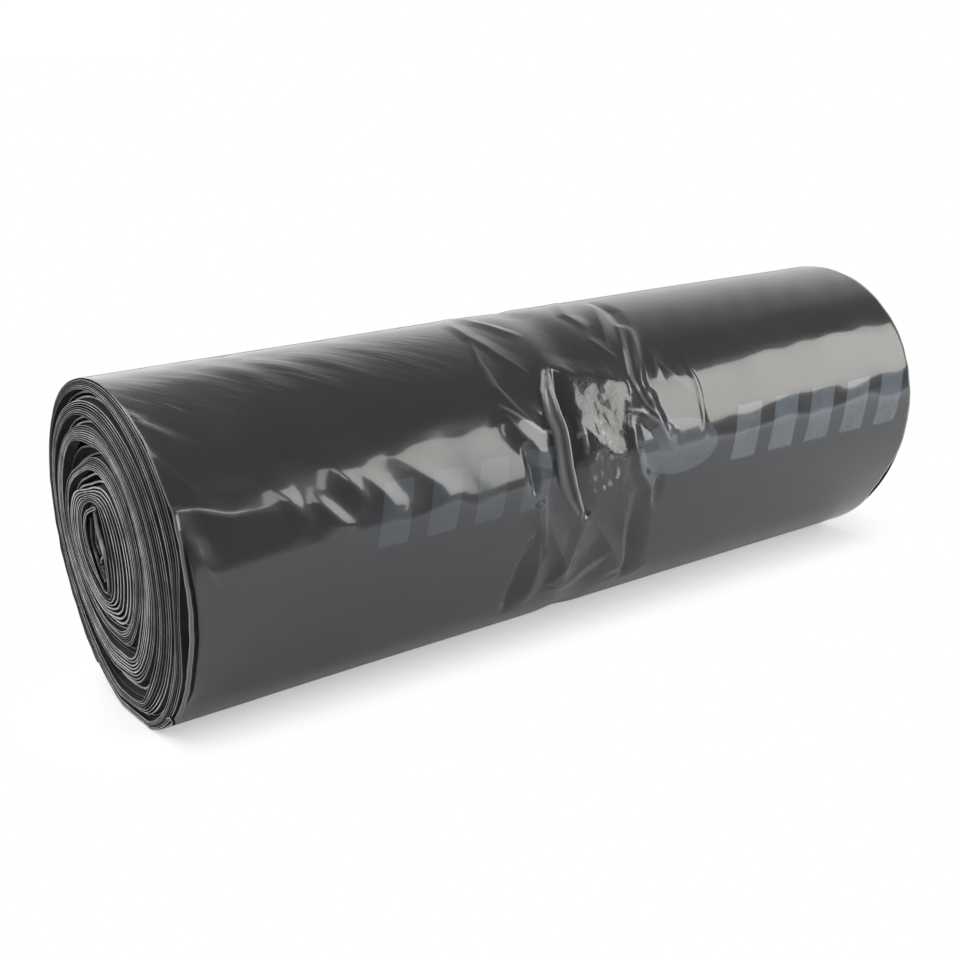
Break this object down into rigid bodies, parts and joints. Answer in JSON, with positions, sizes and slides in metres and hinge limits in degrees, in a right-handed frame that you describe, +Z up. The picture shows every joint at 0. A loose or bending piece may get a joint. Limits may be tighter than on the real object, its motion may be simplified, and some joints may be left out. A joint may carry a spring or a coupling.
{
  "type": "bin bag roll",
  "caption": "Coreless roll of black film bin bags lying on its side, gathered and pleated round a bonded band at its middle, with wound turns showing at both ends.",
  "frame": {"origin": "on the resting surface, below the middle of the roll's box", "axes": "+X along the roll from its near end to its far end, +Y toward its back, +Z up"},
  "size_m": [0.35, 0.1196, 0.1212],
  "materials": {
    "black_film": "glossy thin polyethylene film, slightly grey and translucent at its edges"
  },
  "bodies": {
    "root": {"bag_roll": "black_film"}
  },
  "joints": []
}
